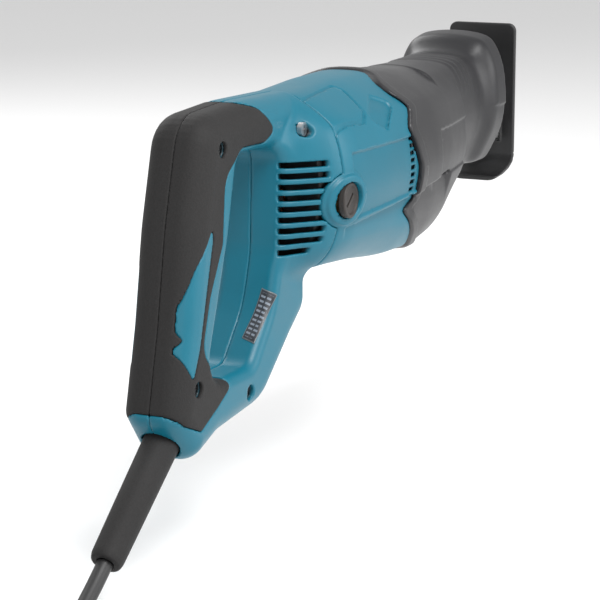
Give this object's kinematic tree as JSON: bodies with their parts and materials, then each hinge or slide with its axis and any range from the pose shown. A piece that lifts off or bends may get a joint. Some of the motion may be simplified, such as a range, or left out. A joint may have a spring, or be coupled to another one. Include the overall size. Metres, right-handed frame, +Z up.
{
  "type": "corded reciprocating saw",
  "caption": "Corded reciprocating saw with a D-shaped rear handle, barrel motor casing, black insulated nose, keyless blade clamp and tilting shoe.",
  "frame": {"origin": "centre of the hand's hold on the rear grip, level with the motor's axis", "axes": "+X along the tool towards the blade, +Y to the operator's left, +Z up"},
  "size_m": [0.6623, 0.1365, 0.2465],
  "materials": {
    "teal_plastic": "moulded, satin",
    "grip_rubber": "fine grain",
    "black_plastic": "moulded, matt",
    "aluminium": "die cast",
    "machined_steel": "machined",
    "black_steel": "black oxide",
    "bronze": "turned",
    "copper": "bare copper",
    "cord_jacket": "smooth jacket"
  },
  "bodies": {
    "housing": {"handle_right": "teal_plastic", "handle_left": "teal_plastic", "grip_rubber_right": "grip_rubber", "grip_rubber_left": "grip_rubber", "handle_screws": "machined_steel", "motor_housing": "teal_plastic", "insulation_cover": "grip_rubber", "gear_housing": "aluminium", "gear_housing_screws": "machined_steel", "stator_core": "machined_steel", "field_coils": "copper", "fan_baffle": "black_plastic", "rear_bearing": "machined_steel", "front_bearing": "machined_steel", "crank_upper_bearing": "machined_steel", "crank_lower_bush": "bronze", "rear_slide_bush": "bronze", "front_slide_bush": "bronze", "front_seal": "grip_rubber", "switch_body": "black_plastic", "terminal_block": "black_plastic", "suppressor": "black_plastic", "internal_leads": "copper", "brush_holders": "bronze", "brush_caps": "black_plastic", "cord_guard": "grip_rubber", "cord_inner_end": "cord_jacket", "cord_clamp": "black_plastic", "power_cord": "cord_jacket", "cord_coil": "cord_jacket", "cord_tail": "cord_jacket", "plug_body": "cord_jacket", "plug_pins": "bronze", "trigger_spring": "machined_steel", "brush_spring_right": "machined_steel", "brush_spring_left": "machined_steel"},
    "armature": {"armature_shaft": "machined_steel", "armature_core": "machined_steel", "armature_windings": "copper", "commutator": "copper", "cooling_fan": "black_plastic", "motor_pinion": "machined_steel"},
    "crank": {"crank_gear": "machined_steel", "crank_shaft": "machined_steel"},
    "slider": {"slider": "machined_steel", "wrist_pin": "machined_steel", "blade_clamp_collar": "machined_steel", "blade_clamp_pin": "machined_steel", "blade_clamp_spring": "machined_steel"},
    "blade_clamp": {"blade_clamp_sleeve": "machined_steel"},
    "rod": {"connecting_rod": "machined_steel", "crank_pin": "machined_steel"},
    "shoe_bar": {"shoe_bar": "machined_steel", "shoe_pivot_pin": "machined_steel"},
    "shoe": {"shoe_plate": "black_steel"},
    "shoe_lock": {"shoe_lock_button": "black_plastic"},
    "trigger": {"trigger": "black_plastic"},
    "lock_on": {"lock_button": "black_plastic"},
    "right_brush": {"carbon_brush_right": "black_plastic"},
    "left_brush": {"carbon_brush_left": "black_plastic"}
  },
  "joints": [
    {"name": "armature_spin", "type": "hinge", "parent": "housing", "child": "armature", "pos_m": [0.144, 0, 0], "axis": [1, 0, 0], "continuous": true},
    {"name": "crank_spin", "type": "hinge", "parent": "housing", "child": "crank", "pos_m": [0.235, 0, 0], "axis": [0, 0, 1], "continuous": true},
    {"name": "slider_stroke", "type": "slide", "parent": "housing", "child": "slider", "axis": [1, 0, 0], "range_m": [0, 0.028]},
    {"name": "rod_swing", "type": "hinge", "parent": "slider", "child": "rod", "pos_m": [0.283, 0, 0.02], "axis": [0, 0, 1], "range_deg": [-13, 13]},
    {"name": "blade_clamp_turn", "type": "hinge", "parent": "slider", "child": "blade_clamp", "pos_m": [0.364, 0, 0.02], "axis": [1, 0, 0], "range_deg": [0, 60], "stiffness_Nm_per_rad": 0.2, "springref_deg": -17.19},
    {"name": "shoe_slide", "type": "slide", "parent": "housing", "child": "shoe_bar", "axis": [1, 0, 0], "range_m": [0, 0.03]},
    {"name": "shoe_tilt", "type": "hinge", "parent": "shoe_bar", "child": "shoe", "pos_m": [0.402, 0, -0.002], "axis": [0, 1, 0], "range_deg": [-12, 25]},
    {"name": "shoe_lock_push", "type": "slide", "parent": "housing", "child": "shoe_lock", "axis": [0, -1, 0], "range_m": [0, 0.004]},
    {"name": "trigger_pull", "type": "slide", "parent": "housing", "child": "trigger", "axis": [-1, 0, 0], "range_m": [0, 0.0065], "stiffness_N_per_m": 900, "springref_m": -0.004, "deforming": ["trigger_spring"]},
    {"name": "lock_button_press", "type": "slide", "parent": "housing", "child": "lock_on", "axis": [0, -1, 0], "range_m": [0, 0.003], "stiffness_N_per_m": 500, "springref_m": -0.002},
    {"name": "right_brush_travel", "type": "slide", "parent": "housing", "child": "right_brush", "axis": [0, -1, 0], "range_m": [0, 0.004], "stiffness_N_per_m": 300, "springref_m": -0.006, "deforming": ["brush_spring_right"]},
    {"name": "left_brush_travel", "type": "slide", "parent": "housing", "child": "left_brush", "axis": [0, 1, 0], "range_m": [0, 0.004], "stiffness_N_per_m": 300, "springref_m": -0.006, "deforming": ["brush_spring_left"]}
  ],
  "couplings": [
    {"joint": "crank_spin", "follows": "armature_spin", "ratio": 0.16667}
  ]
}
